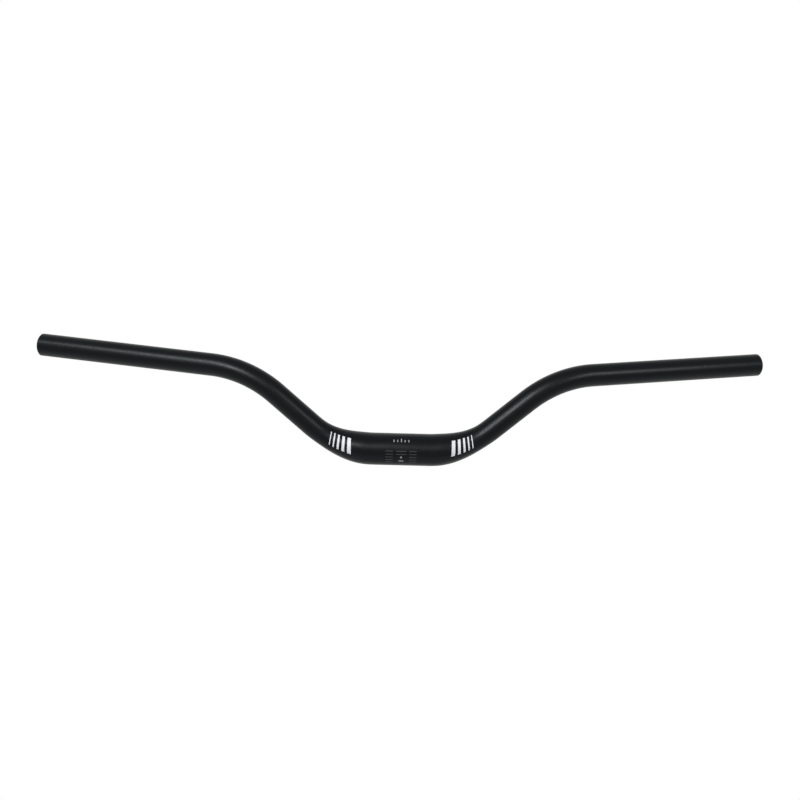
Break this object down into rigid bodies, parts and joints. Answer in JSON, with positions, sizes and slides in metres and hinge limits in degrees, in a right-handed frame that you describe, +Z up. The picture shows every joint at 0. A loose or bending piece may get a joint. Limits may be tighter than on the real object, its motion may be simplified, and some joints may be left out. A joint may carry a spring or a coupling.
{
  "type": "mountain bike handlebar",
  "caption": "High-rise mountain bike handlebar: a black alloy tube, fat at the stem clamp, tapering through its lower bends to slim, swept-back open ends for grips, levers and plugs.",
  "frame": {"origin": "centre of the straight stem clamp, on its axis", "axes": "+X along the clamp towards one grip, +Y towards the rider, +Z up"},
  "size_m": [0.7232, 0.0562, 0.1177],
  "materials": {
    "tube": "satin",
    "print": "satin"
  },
  "bodies": {
    "root": {"handlebar": "tube"}
  },
  "joints": []
}
